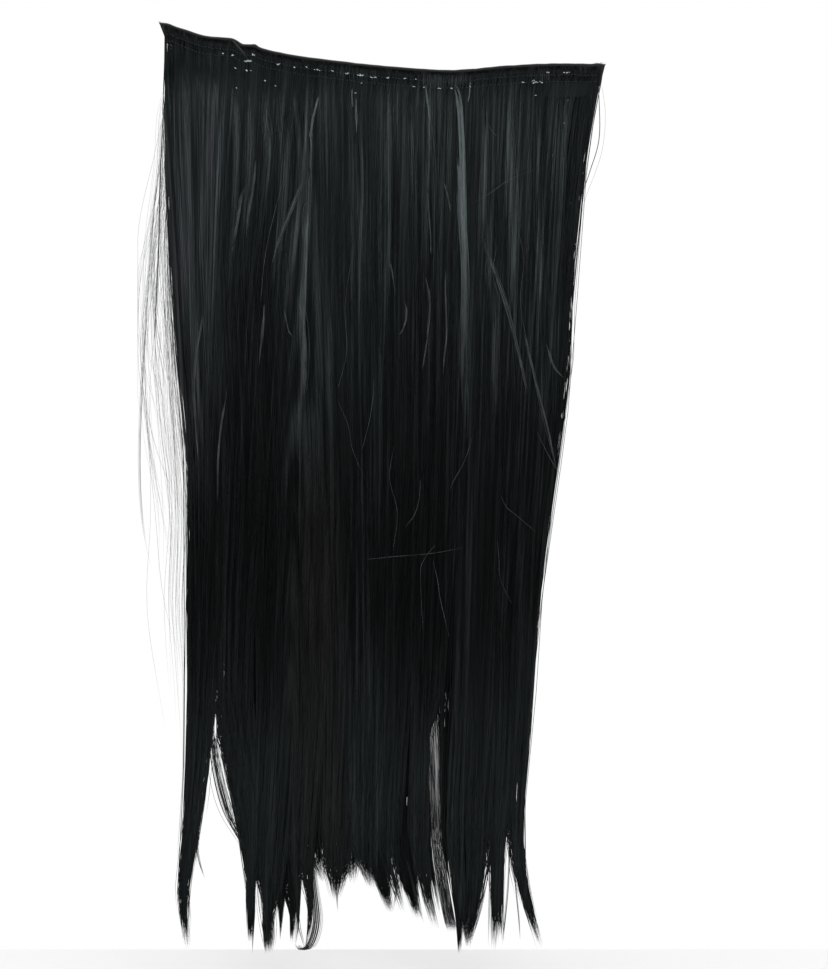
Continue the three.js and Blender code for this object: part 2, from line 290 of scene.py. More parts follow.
# Wisps that lie over the front, from the seam or from a place further down: their course is a row of
# places (x, z), in millimetres, width is across the wisp where it is fullest
WISP_STATIONS = 12
LATE_START = 0.22
EARLY_END = 0.7
LAID_SCATTER = 0.32
LAID_SWING = 0.25
LAID_TURNS = 1.7
FRONT_LIFT = 0.35
FRONT_PART = 0.87
FRONT_CLEAR = 0.2
SHEEN_WISPS = named_rows(
    "course width",
    ([(-130, 12), (-129, -12), (-128, -60), (-124, -150), (-116, -260)], 9),
    ([(-122, 6), (-119, -10), (-117, -45), (-116, -120), (-110, -250)], 5),
    ([(-112, 4), (-108, -14), (-107, -60), (-110, -140), (-112, -230)], 4),
    ([(-99, 2), (-96, -20), (-94, -50), (-97, -100), (-103, -170)], 3),
    ([(-88, 0), (-86, -30), (-87, -65), (-92, -110), (-99, -190)], 3),
    ([(-78, -2), (-76, -28), (-74, -50), (-78, -95), (-84, -150)], 6),
    ([(-68, -4), (-66, -30), (-64, -50), (-66, -90), (-74, -160)], 8),
    ([(-58, -6), (-55, -30), (-52, -70), (-56, -110), (-63, -190)], 4),
    ([(-52, -6), (-49, -34), (-49, -80), (-52, -140), (-55, -300)], 5),
    ([(-19, -8), (-19, -30), (-18, -60), (-18, -100), (-21, -170)], 3),
    ([(-14, -8), (-14, -34), (-12, -70), (-14, -120), (-16, -200)], 3),
    ([(3, -8), (4, -40), (4, -90), (2, -150), (-2, -240)], 4),
    ([(18, -8), (19, -40), (22, -90), (21, -150), (18, -220)], 3),
    ([(30, -8), (31, -30), (34, -60), (35, -110), (37, -200)], 4),
    ([(66, -8), (67, -40), (68, -90), (72, -160), (76, -260)], 4),
    ([(82, -8), (83, -40), (85, -90), (86, -150), (92, -260)], 6),
    ([(100, -6), (101, -40), (101, -90), (103, -150), (104, -260)], 5),
    ([(118, -6), (117, -40), (115, -90), (112, -150), (113, -250)], 6),
)
PALE_WISPS = named_rows(
    "course width",
    ([(46, -5), (49, -16), (50.5, -32), (52, -80), (54, -140), (55.5, -225)], 1.6),
    ([(47, -4), (51, -14), (52.5, -40), (53.5, -90), (55, -150), (56, -200)], 1.2),
    ([(50, -8), (51.5, -28), (53, -60), (54, -110), (55, -170)], 2.0),
    ([(49, -50), (51, -75), (53, -110), (53.5, -140), (52.5, -180), (52, -230)], 3.6),
    ([(-41, -12), (-43, -20), (-45.5, -32), (-46, -44)], 0.8),
    ([(-44, -26), (-46.5, -38), (-46, -46), (-47, -80)], 0.7),
    ([(-46, -40), (-48, -80), (-50, -140), (-53, -230), (-54, -330)], 1.6),
    ([(28, -4), (29, -12), (30, -20), (31, -30), (32, -38)], 0.7),
    ([(57.5, -3), (57, -10), (56, -18)], 0.5),
    ([(-19.5, -8), (-19.5, -14), (-19, -22)], 0.5),
    ([(-17, -14), (-17, -24), (-16.5, -40)], 0.6),
)

# What starts each draw of random places
SEEDS = {"tape": 5, "stitches": 21, "glints": 23, "clip_threads": 25, "fold": 27, "corners": 29,
         "loose_hairs": 31, "veil": 33, "over_hairs": 35, "seam_fibres": 37}

# Short fibres of the seam that stand over the lower part of the band: from, to, and how many
SEAM_FIBRES = named_rows(
    "from to hairs",
    (26, 58, 110),
    (-30, -4, 40),
    (96, 110, 24),
)

# Small wisps that cross the front on a slant
CROSSING_WISPS = named_rows(
    "course width",
    ([(63, -100), (68, -114), (76, -135), (84, -160), (91, -190), (95, -212)], 1.6),
    ([(90, -158), (95, -178), (101, -203), (109, -235), (114, -260)], 1.6),
    ([(106, -172), (112, -190), (119, -198)], 0.8),
    ([(71, -120), (69.5, -128), (70, -135)], 0.5),
    ([(-82, -52), (-84, -72), (-87, -90), (-89, -112)], 1.6),
    ([(-88, -68), (-92, -82), (-95, -100), (-99, -122)], 2.2),
    ([(-47, -54), (-52, -70), (-60, -90), (-68, -110), (-72, -127)], 1.8),
    ([(-64, -150), (-61, -165), (-57, -172)], 0.8),
    ([(-76, -145), (-78, -170), (-81, -195)], 0.9),
    ([(-55, -140), (-51, -160), (-50, -190), (-52, -225)], 4.0),
    ([(29, -68), (31, -95), (32, -123)], 0.5),
    ([(27, -126), (31, -146), (30, -165), (25, -198)], 0.7),
    ([(41, -124), (42, -165), (39.5, -198)], 0.8),
    ([(40, -68), (43, -80), (45, -92)], 0.7),
    ([(4, -118), (7, -130), (9, -146)], 0.6),
    ([(15, -146), (15.5, -160), (10, -171)], 0.5),
    ([(-116, -150), (-122, -200), (-119, -260)], 1.4),
    ([(-100, -200), (-106, -240), (-107, -290)], 1.2),
)

# Single hairs that have come away over the front
OVER_HAIRS = [
    [(69, -31), (71, -36), (75, -40)],
    [(58, -84), (70, -77), (83, -68), (103, -60)],
    [(-45, -81), (-48, -83), (-51, -87), (-52, -110)],
    [(-5, -198), (-6, -210), (-8, -224), (-13, -244)],
    [(-29, -211), (-22, -228), (-19, -244), (-11, -263)],
    [(55, -196), (56, -215), (55, -238)],
    [(59, -234), (54, -250), (47, -263), (44, -270)],
    [(25, -263), (24, -276), (21, -286), (15, -294)],
    [(77, -273), (81, -281), (87, -286), (100, -297)],
    [(100, -231), (107, -245), (112, -254), (116, -260)],
    [(-11, -315), (8, -313), (32, -311), (54, -307)],
    [(35, -305), (28, -314), (25, -325), (27, -367)],
    [(33, -315), (36, -328), (38, -341), (44, -367)],
    [(75, -302), (76, -315), (77, -328), (85, -345)],
    [(64, -101), (69, -115), (67, -128), (71, -140)],
    [(70, -98), (74, -112), (72, -130), (78, -150)],
    [(87, -95), (92, -120), (90, -150), (97, -185)],
    [(-62, -60), (-70, -90), (-76, -118), (-79, -150)],
    [(-20, -120), (-24, -150), (-23, -180), (-29, -205)],
    [(8, -240), (5, -262), (10, -285), (7, -310)],
]

# Single hairs and small wisps that stand clear of the sides and the hem
SIDE_WISPS = named_rows(
    "course hairs spread",
    ([(-112, -422), (-109, -448), (-102, -476), (-92, -496), (-85, -510)], 34, 4.4),
    ([(-109, -430), (-106, -456), (-99, -482), (-89, -505)], 18, 3.0),
    ([(-105, -440), (-100, -462), (-93, -485), (-88, -500)], 12, 2.0),
    ([(-121, -470), (-121, -497), (-119, -512), (-115, -524)], 6, 1.2),
    ([(-80, -500), (-77, -530), (-74, -555), (-73, -572)], 90, 5),
    ([(-47, -500), (-44, -530), (-42.5, -550), (-46, -565), (-52, -569), (-56, -565)], 60, 3.4),
    ([(-58, -510), (-56, -535), (-54, -555), (-50, -569)], 10, 1.6),
    ([(-33, -505), (-30, -525), (-29, -545)], 8, 1.2),
    ([(6, -505), (9, -525), (7, -545)], 8, 1.4),
    ([(16, -510), (22, -535), (27, -552)], 9, 1.4),
    ([(26, -505), (32, -535), (37, -556)], 7, 1.2),
    ([(72, -495), (66, -529), (61, -550), (56, -566)], 10, 1.4),
    ([(83, -500), (82, -525), (80, -548), (78, -567)], 7, 1.0),
    ([(85, -505), (87, -530), (89, -550), (90, -565)], 6, 1.0),
    ([(143, -5), (145.5, -25), (144, -45), (140, -60), (131, -85), (128, -112)], 1, 0),
    ([(141, -8), (141, -40), (135, -62), (129, -80)], 3, 0.8),
    ([(-142, -18), (-144, -62), (-145, -110), (-147, -150), (-148, -178)], 12, 1.1),
    ([(-141, -30), (-141, -60), (-139, -100), (-138, -128)], 16, 3.0),
    ([(-142, -40), (-149, -90), (-154, -160), (-158, -240), (-156, -290), (-148, -330)], 5, 2.4),
)

# Hairs along the left side: how far down they start, how long they are, and how far they stand out
LEFT_HAIRS = {"count": 105, "start": (2, 150), "length": (140, 330), "out": (1.0, 32.0)}
LEFT_LIMIT = -159
STRAY_STATIONS = 24
STRAY_RADIUS = 0.1
OVER_RADIUS = 0.13
SEAM_FIBRE_RADIUS = 0.12
FIBRE_TOPS = (2.5, 7)
FIBRE_ENDS = (8.5, 14.5)

# Painted glints in the seams, as pale thread: how far below the band's edge, how many, how far spread
GLINTS = named_rows(
    "x below count spread",
    (-104, 10.8, 2, 0.9),
    (-97, 11.4, 4, 0.9),
    (-84, 7.4, 5, 1.5),
    (-87, 11.6, 12, 2.6),
    (-95.5, 19.0, 2, 0.4),
    (-86.5, 17.5, 4, 2.2),
    (-95, 31.0, 1, 0.3),
    (-76, 21.5, 2, 0.7),
    (-69.5, 23.0, 1, 0.3),
    (-67, 8.6, 3, 1.4),
    (-57, 8.6, 2, 0.4),
    (-49, 7.9, 1, 0.5),
    (-42.5, 8.1, 4, 2.2),
    (-34, 7.9, 2, 2.0),
    (-23, 8.0, 4, 1.6),
    (-14.5, 8.2, 8, 2.4),
    (-6, 8.4, 4, 3.0),
    (4, 8.2, 3, 0.9),
    (14.5, 7.7, 3, 1.6),
    (22, 7.8, 1, 0.4),
    (21, 12.6, 2, 0.6),
    (27, 12.8, 1, 0.4),
    (36, 12.5, 2, 2.4),
    (45, 12.4, 3, 0.8),
    (57, 11.6, 1, 0.4),
    (108, 6.4, 2, 2.5),
    (121, 6.5, 5, 3.5),
    (92, 12.0, 2, 1.2),
    (102, 12.3, 11, 4.4),
    (100, 21.0, 1, 0.3),
    (-13, 13.5, 1, 0.5),
    (-17.5, 20.0, 1, 0.3),
)


# Form of the band and the locks


def column(table, key):
    return np.array([row[key] for row in table], dtype=float)


def mix(start, end, share):
    return start + (end - start) * share


def smooth(share):
    share = np.clip(share, 0, 1)
    return share * share * (3 - 2 * share)


def value_at(table, key, name, at):
    """Smooth value of one column of a table, at places between its rows."""
    keys, values = column(table, key), column(table, name)
    place = np.clip(at, keys[0], keys[-1])
    row = np.searchsorted(keys[1:-1], place, side="left")
    before, after = np.maximum(row - 1, 0), np.minimum(row + 2, len(keys) - 1)
    step = keys[row + 1] - keys[row]
    t = (place - keys[row]) / step
    slope_from = step * (values[row + 1] - values[before]) / (keys[row + 1] - keys[before])
    slope_to = step * (values[after] - values[row]) / (keys[after] - keys[row])
    rise = values[row + 1] - values[row]
    bend = slope_from + slope_to - 2 * rise
    turn = 3 * rise - 2 * slope_from - slope_to
    return values[row] + t * (slope_from + t * (turn + t * bend))


def bulge(x, middle, reach, height):
    return height * np.exp(-(((x - middle) / reach) ** 2))


def band_top(x):
    """Height of the band's upper edge, with its kinks."""
    rise = value_at(BAND_LINE, "across", "rise", x / BAND_WIDTH + 0.5)
    return BAND_HEIGHT / 2 + CORNER_RISE * rise + sum(bulge(x, *kink) for kink in BAND_KINKS)


def band_lean(x):
    return value_at(BAND_LINE, "across", "lean", x / BAND_WIDTH + 0.5)


def hair_sides(down):
    """Left side of the hanging hair and its width, at shares of the drop."""
    left = (value_at(HAIR_SIDES, "down", "left", down) - 0.5) * BAND_WIDTH
    right = (value_at(HAIR_SIDES, "down", "right", down) - 0.5) * BAND_WIDTH
    return left, right - left


def lock_shape(row, number, down):
    """Middle, width and thickness of one lock of a row, at shares of the drop."""
    lock = row["locks"][number]
    order = number / (len(row["locks"]) - 1)
    left, room = hair_sides(down)
    part_width = lock["width"] * BAND_WIDTH
    along = np.clip(down / lock["part"], 0, 1)
    width = mix(ROOT_OVERLAP / len(row["locks"]) * room, part_width, along ** WIDTH_HOLD)
    place = mix(order, lock["hem"], smooth(along))
    centre = left + width / 2 + place * (room - width)
    fullness = np.interp(along, column(HANG_SECTIONS, "along"), column(HANG_SECTIONS, "thick"))
    thick = mix(row["root_thick"], ROW_THICK, fullness)

    hem_room = hair_sides(np.array([lock["part"]]))[1]
    hem_share = (part_width / 2 + lock["hem"] * (hem_room - part_width)) / hem_room
    low = np.clip((down - lock["part"]) / (lock["reach"] - lock["part"]), 0, 1)
    swing = lock["bow"] * BAND_WIDTH * np.sin(np.pi * low)
    low_centre = left + mix(hem_share, lock["tip"], low) * room + swing
    low_fullness = np.interp(low, column(PART_SECTIONS, "along"), column(PART_SECTIONS, "thick"))
    parted = down > lock["part"]
    return (
        np.where(parted, low_centre, centre),
        np.where(parted, mix(part_width, TIP_WIDTH, low), width),
        np.where(parted, mix(TIP_THICK, ROW_THICK, low_fullness), thick),
    )


def opening(z, top, low):
    """How far a parting is open at a height: closed at its top, and at its foot unless it runs out."""
    length = top - low
    share = smooth((top - z) / (PARTING_OPENS * length))
    if low > PARTING_RUNS_OUT:
        share = share * smooth((z - low) / (PARTING_CLOSES * length))
    return share


def parted(x, z):
    """Pushes strands out of the partings, each to the side that most of it is on."""
    for parting in PARTINGS:
        line = np.array(parting["line"], dtype=float)[::-1]
        low, top = line[0, 1], line[-1, 1]
        middle = np.interp(z, line[:, 1], line[:, 0])
        offset = x - middle
        beside = (z < top) & (z > low)
        side = np.where((offset * beside).sum(axis=1, keepdims=True) < 0, -1, 1)
        gap = np.maximum(side * offset, 0)
        moved = parting["half"] + gap * (parting["push"] - parting["half"]) / parting["push"]
        aside = mix(x, middle + side * moved, opening(z, top, low))
        x = np.where(gap < parting["push"], aside, x)
    return x


# Meshes

MAP_LOW = np.array([-0.175, -0.6])
MAP_SIZE = np.array([0.35, 0.66])


def add_front_map(mesh, points):
    """The map of a piece as seen from the front, through which its finish can be baked."""
    layer = mesh.uv_layers.new(name="OFBake")
    corners = np.empty(len(mesh.loops), dtype=np.int32)
    mesh.loops.foreach_get("vertex_index", corners)
    flat = (points[corners][:, [0, 2]] - MAP_LOW) / MAP_SIZE
    layer.data.foreach_set("uv", flat.ravel())


def make_piece(name, points, faces, finish, nodes=()):
    """A named piece of the extension from points in millimetres, with its finish and its place."""
    points = np.asarray(points, dtype=float) * MM
    mesh = bpy.data.meshes.new(name)
    mesh.from_pydata(points.tolist(), [], faces)
    mesh.validate()
    mesh.polygons.foreach_set("use_smooth", [True] * len(mesh.polygons))
    add_front_map(mesh, points)
    mesh.materials.append(finish)
    piece = bpy.data.objects.new(name, mesh)
    bpy.context.scene.collection.objects.link(piece)
    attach(piece, "root")
    if nodes:
        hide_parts(*nodes)
    return piece


def tubes(paths, radii, sides=3):
    """Closed tubes that end in points. Paths are strands by stations by place."""
    count, stations = paths.shape[:2]
    rings = stations - 2
    along = np.gradient(paths, axis=1)
    along /= np.linalg.norm(along, axis=2, keepdims=True)
    side = np.cross(along, np.array([0.0, 1.0, 0.0]))
    side += np.array([1e-6, 0, 0])
    side /= np.linalg.norm(side, axis=2, keepdims=True)
    front = np.cross(along, side)
    angles = (np.arange(sides) / sides + 0.25) * 2 * np.pi
    inner = slice(1, stations - 1)
    around = (
        np.cos(angles)[None, None, :, None] * side[:, inner, None, :]
        + np.sin(angles)[None, None, :, None] * front[:, inner, None, :]
    )
    ring_points = paths[:, inner, None, :] + around * radii[:, inner, None, None]
    points = np.concatenate(
        [paths[:, :1], ring_points.reshape(count, rings * sides, 3), paths[:, -1:]], axis=1
    )
    quads, ends = [], []
    last = 1 + rings * sides
    for i in range(sides):
        after = (i + 1) % sides
        ends.append([0, 1 + i, 1 + after])
        ends.append([last, last - sides + after, last - sides + i])
        for r in range(rings - 1):
            here = 1 + r * sides
            there = here + sides
            quads.append([here + i, there + i, there + after, here + after])
    start = np.arange(count)[:, None, None] * points.shape[1]
    all_quads = (np.array(quads)[None] + start).reshape(-1, 4)
    all_ends = (np.array(ends)[None] + start).reshape(-1, 3)
    return points.reshape(-1, 3), all_quads.tolist() + all_ends.tolist()


def closed_rings(rings, around):
    """Faces of a closed body of rings of points that follow each other."""
    faces = [list(range(around))[::-1], [(rings - 1) * around + i for i in range(around)]]
    for here in range(0, (rings - 1) * around, around):
        there = here + around
        for i in range(around):
            after = (i + 1) % around
            faces.append([here + i, here + after, there + after, there + i])
    return faces


def joined(parts):
    """Points and faces of several bodies as one mesh."""
    points, faces, start = [], [], 0
    for part_points, part_faces in parts:
        points.append(part_points)
        faces += [[start + corner for corner in face] for face in part_faces]
        start += len(part_points)
    return np.concatenate(points), faces


# Finishes


class Value:
    """A number in a finish's nodes. A sum or product of these adds its Math node."""

    def __init__(self, finish, socket):
        self.finish = finish
        self.socket = socket

    def math(self, operation, *terms):
        return self.finish.node("Math", {"operation": operation}, dict(enumerate(terms)))

    def __add__(self, other):
        return self.math("ADD", self, other)

    def __radd__(self, other):
        return self.math("ADD", other, self)

    def __sub__(self, other):
        return self.math("SUBTRACT", self, other)

    def __rsub__(self, other):
        return self.math("SUBTRACT", other, self)

    def __mul__(self, other):
        return self.math("MULTIPLY", self, other)

    def __rmul__(self, other):
        return self.math("MULTIPLY", other, self)

    def __truediv__(self, other):
        return self.math("DIVIDE", self, other)

    def __abs__(self):
        return self.math("ABSOLUTE", self)

    def sine(self):
        return self.math("SINE", self)


class Finish:
    """A material that is put together from nodes."""

    def __init__(self, name):
        self.material = bpy.data.materials.new(name)
        self.material.use_nodes = True
        self.tree = self.material.node_tree
        self.shader = self.tree.nodes["Principled BSDF"]
        place = self.node("TexCoord", {}, {}, "Object")
        self.x, self.y, self.z = (self.node("SeparateXYZ", {}, {0: place}, axis) for axis in "XYZ")

    def node(self, kind, settings, sockets, output=0):
        """Adds a node: first its settings, then the values or links of its sockets."""
        made = self.tree.nodes.new("ShaderNode" + kind)
        for name, setting in settings.items():
            if name == "stops":
                self.fill_ramp(made.color_ramp, setting)
            else:
                setattr(made, name, setting)
        self.plug(made, sockets)
        return Value(self, made.outputs[output])

    def fill_ramp(self, ramp, stops):
        while len(ramp.elements) < len(stops):
            ramp.elements.new(0.5)
        for element, (place, color) in zip(ramp.elements, stops):
            element.position = place
            element.color = color

    def plug(self, node, sockets):
        for key, value in sockets.items():
            if isinstance(value, Value):
                self.tree.links.new(value.socket, node.inputs[key])
            else:
                node.inputs[key].default_value = value

    def at(self, x, y, z):
        """A place made from three numbers or values."""
        return self.node("CombineXYZ", {}, {0: x, 1: y, 2: z})

    def noise(self, place, detail=2.0, roughness=0.5, scale=1.0):
        sockets = {"Vector": place, "Scale": scale, "Detail": detail, "Roughness": roughness}
        return self.node("TexNoise", {}, sockets)

    def fade(self, value, start, end):
        """From 0 at start to 1 at end."""
        sockets = {"Value": value, "From Min": start, "From Max": end}
        return self.node("MapRange", {"interpolation_type": "SMOOTHSTEP"}, sockets)

    def blend(self, share, first, second):
        """One colour over another."""
        sockets = {0: share, 6: first, 7: second}
        return self.node("Mix", {"data_type": "RGBA"}, sockets, 2)

    def bump(self, height, distance, strength=1.0):
        sockets = {"Height": height, "Distance": distance, "Strength": strength}
        return self.node("Bump", {}, sockets)

    def surface(self, sockets):
        self.plug(self.shader, sockets)
        return self.material


COOL_SHINE = (0.86, 1.0, 1.0, 1.0)


def gray(level, warmth=-0.16):
    """A near-neutral colour, cool where warmth is below 0."""
    return (level * (1 + warmth), level, level * (1 - warmth * 0.2), 1.0)


def hair_finish(name, depth, streaks, shine=0.05):
    """Smooth black fibre, with streaks painted pale as a highlight in its upper part, and painted shade
    deepest below the middle.
    """
    finish = Finish(name)
    down = finish.z * -1
    # The streaks run with the hair, so they narrow downwards and slant at the left
    run = finish.x / (finish.z * 0.48 + 1)
    slant = (1 - finish.fade(abs(finish.x + 0.085), 0.02, 0.05)) * 0.11
    course = run + slant * down
    fine = finish.noise(finish.at(course * 950, 0, finish.z * 13), 2)
    wisps = finish.noise(finish.at(course * 360, 0, finish.z * 7), 3)
    broad = finish.noise(finish.at(course * 42, 3, finish.z * 3), 1)
    # Regions, from 0 to 1: the upper part that holds the painted highlight, the hem, the left side
    # where that painted highlight is cooler, two hollows of painted shade and a warmer run below the
    # middle
    right = finish.fade(finish.x, 0.02, 0.06)
    upper = finish.fade(finish.z, -0.3, -0.05) * (1 - right * 0.25)
    crown = finish.fade(finish.z, 0.002, -0.02)
    hem = finish.fade(finish.z, -0.33, -0.47)
    left = finish.fade(finish.x, -0.09, -0.125)
    fall = upper * crown
    root = finish.fade(finish.z, -0.02, 0.0)
    painted_shade = 1 - finish.fade(abs(finish.x - 0.022), 0.005, 0.035)
    painted_shade = painted_shade + 1 - finish.fade(abs(finish.x + 0.08), 0.005, 0.025)
    middle = finish.fade(finish.z, -0.035, -0.11) * (1 - hem)
    streak = finish.fade(wisps, 0.44, 0.66) * (finish.fade(broad, 0.32, 0.62) * 0.8 + 0.2)
    warm = (1 - finish.fade(abs(finish.x + 0.043), 0.008, 0.022)) * finish.fade(finish.z, -0.22, -0.3)
    # Ground colour: lighter at the hem and the root, and painted lighter in the upper part and at the
    # upper left as painted highlight
    ground = finish.blend(
        hem * 0.72 + fall * 0.6 + left * fall * 0.9 + root * 0.6 + 0.14, gray(0.001), gray(depth)
    )
    # Streaks, painted brighter in the upper part as painted highlight
    lift = streak * (fall * 0.8 + 0.27 + hem * 0.1) + finish.fade(fine, 0.45, 0.8) * 0.42 * (fall + 0.3)
    color = finish.blend(lift, ground, gray(streaks))
    # Painted shade in two hollows below the middle
    color = finish.blend(painted_shade * middle * 0.55, color, gray(0.001))
    # Painted highlight, paler and cooler, on the streaks at the upper left
    color = finish.blend(left * fall * streak * 0.8, color, (0.054, 0.048, 0.062, 1.0))
    color = finish.blend(warm * 0.5 * finish.fade(wisps, 0.35, 0.6), color, gray(depth * 0.9, 0.25))
    rough = 0.34 + wisps * 0.2
    return finish.surface(
        {"Base Color": color, "Roughness": rough, "Specular IOR Level": shine,
         "Specular Tint": COOL_SHINE}
    )


def pale_finish():
    """Strands painted pale as a highlight, brightest at the seam and lost in the black further down."""
    finish = Finish("pale_hair")
    fine = finish.noise(finish.at(finish.x * 2200, 0, finish.z * 9), 2)
    # Painted highlight: the strands are palest in the upper part
    upper = finish.fade(finish.z, -0.24, -0.05) * 0.85 + finish.fade(finish.z, -0.4, -0.2) * 0.15
    color = finish.blend(upper * (finish.fade(fine, 0.25, 0.7) * 0.5 + 0.5), gray(0.006), gray(0.13))
    rough = 0.32 + fine * 0.15
    return finish.surface({"Base Color": color, "Roughness": rough, "Specular IOR Level": 0.1})


def lit_finish(name, dull, lit_level):
    """Hairs on the front, with painted highlights in patches along their length."""
    finish = Finish(name)
    lit = finish.noise(finish.at(finish.x * 90, 0, finish.z * 60), 2)
    color = finish.blend(finish.fade(lit, 0.3, 0.65), gray(dull), gray(lit_level))
    rough = 0.3 + lit * 0.2
    return finish.surface({"Base Color": color, "Roughness": rough, "Specular IOR Level": 0.3})


def tape_finish(name, low, high):
    """Tight black tape with a fine crosswise weave, and a painted sheen where it is rolled over the
    top.
    """
    finish = Finish(name)
    rib = (finish.x * 5200).sine()
    pick = (finish.z * 7600).sine()
    weave = rib * pick * 0.5 + 0.5
    cloud = finish.noise(finish.at(finish.x * 120, finish.y * 120, finish.z * 300), 3)
    tone = weave * 0.4 + cloud * 0.6
    facing = finish.node("TexCoord", {}, {}, "Normal")
    upward = finish.node("SeparateXYZ", {}, {0: facing}, "Z")
    # Painted sheen on the upward faces of the roll, stronger towards the left
    long_left = finish.fade(finish.x, 0.05, -0.02) * 0.6 + 0.4
    painted_roll_sheen = finish.fade(upward, 0.25, 0.95) * (cloud * 0.5 + 0.75) * long_left
    color = finish.blend(tone, gray(low), gray(high))
    color = finish.blend(painted_roll_sheen, color, gray(0.16, 0))
    normal = finish.bump(weave, 0.00012, 0.6)
    rough = 0.5 + cloud * 0.25
    return finish.surface(
        {"Base Color": color, "Roughness": rough, "Normal": normal, "Specular IOR Level": 0.15}
    )


def thread_finish(name, low, high, level):
    """Twisted sewing thread."""
    finish = Finish(name)
    twist = ((finish.x + finish.z * 0.6) * 9000).sine() * 0.5 + 0.5
    cloud = finish.noise(finish.at(finish.x * 400, finish.y * 400, finish.z * 400), 2)
    color = finish.blend(twist * 0.5 + cloud * 0.5, gray(low), gray(high))
    rough = 0.3 + cloud * 0.3
    return finish.surface({"Base Color": color, "Roughness": rough, "Specular IOR Level": level})


def clip_finish():
    """Black lacquer on pressed steel, worn thin in places."""
    finish = Finish("black_clip_lacquer")
    cloud = finish.noise(finish.at(finish.x * 300, finish.y * 300, finish.z * 300), 4, 0.6)
    pits = finish.noise(finish.at(finish.x * 1800, finish.y * 1800, finish.z * 1800), 2)
    worn = finish.fade(cloud * 0.7 + pits * 0.3, 0.56, 0.66)
    color = finish.blend(worn, gray(0.012), gray(0.05, 0.05))
    rough = 0.28 + cloud * 0.2 + worn * 0.15
    normal = finish.bump(pits, 0.00005, 0.5)
    return finish.surface(
        {"Base Color": color, "Roughness": rough, "Normal": normal, "Metallic": worn * 0.6}
    )


# Copies of one black hair: the under layers and the cores are painted darker as painted shade, and the
# sheen wisps painted lighter as painted sheen
HAIR_SURFACE = hair_finish("black_hair_surface", 0.014, 0.05)
HAIR_UNDER = hair_finish("black_hair_under", 0.009, 0.026)
HAIR_SHEEN = hair_finish("black_hair_sheen", 0.022, 0.085, 0.08)
HAIR_CORE = hair_finish("black_hair_core", 0.006, 0.012, 0.04)
PALE_HAIR = pale_finish()
LIT_HAIR = lit_finish("lit_hair", 0.02, 0.1)
STRAY_HAIR = hair_finish("loose_hair", 0.02, 0.05, 0.2)
SEAM_HAIR = hair_finish("seam_hair", 0.05, 0.1, 0.08)
CROSSING_HAIR = lit_finish("crossing_hair", 0.014, 0.052)
WEFT_TAPE = tape_finish("black_weft_tape", 0.006, 0.015)
DARK_THREAD = thread_finish("black_sewing_thread", 0.006, 0.022, 0.3)
# Pale thread for the painted glints in the seams
GLINT_THREAD = thread_finish("painted_glint_thread", 0.2, 0.5, 0.5)
LACQUER = clip_finish()


# Hair


def swaying(t, turns, start):
    """A wave along a strand, between -1 and 1."""
    return np.sin(2 * np.pi * (turns * t + start))


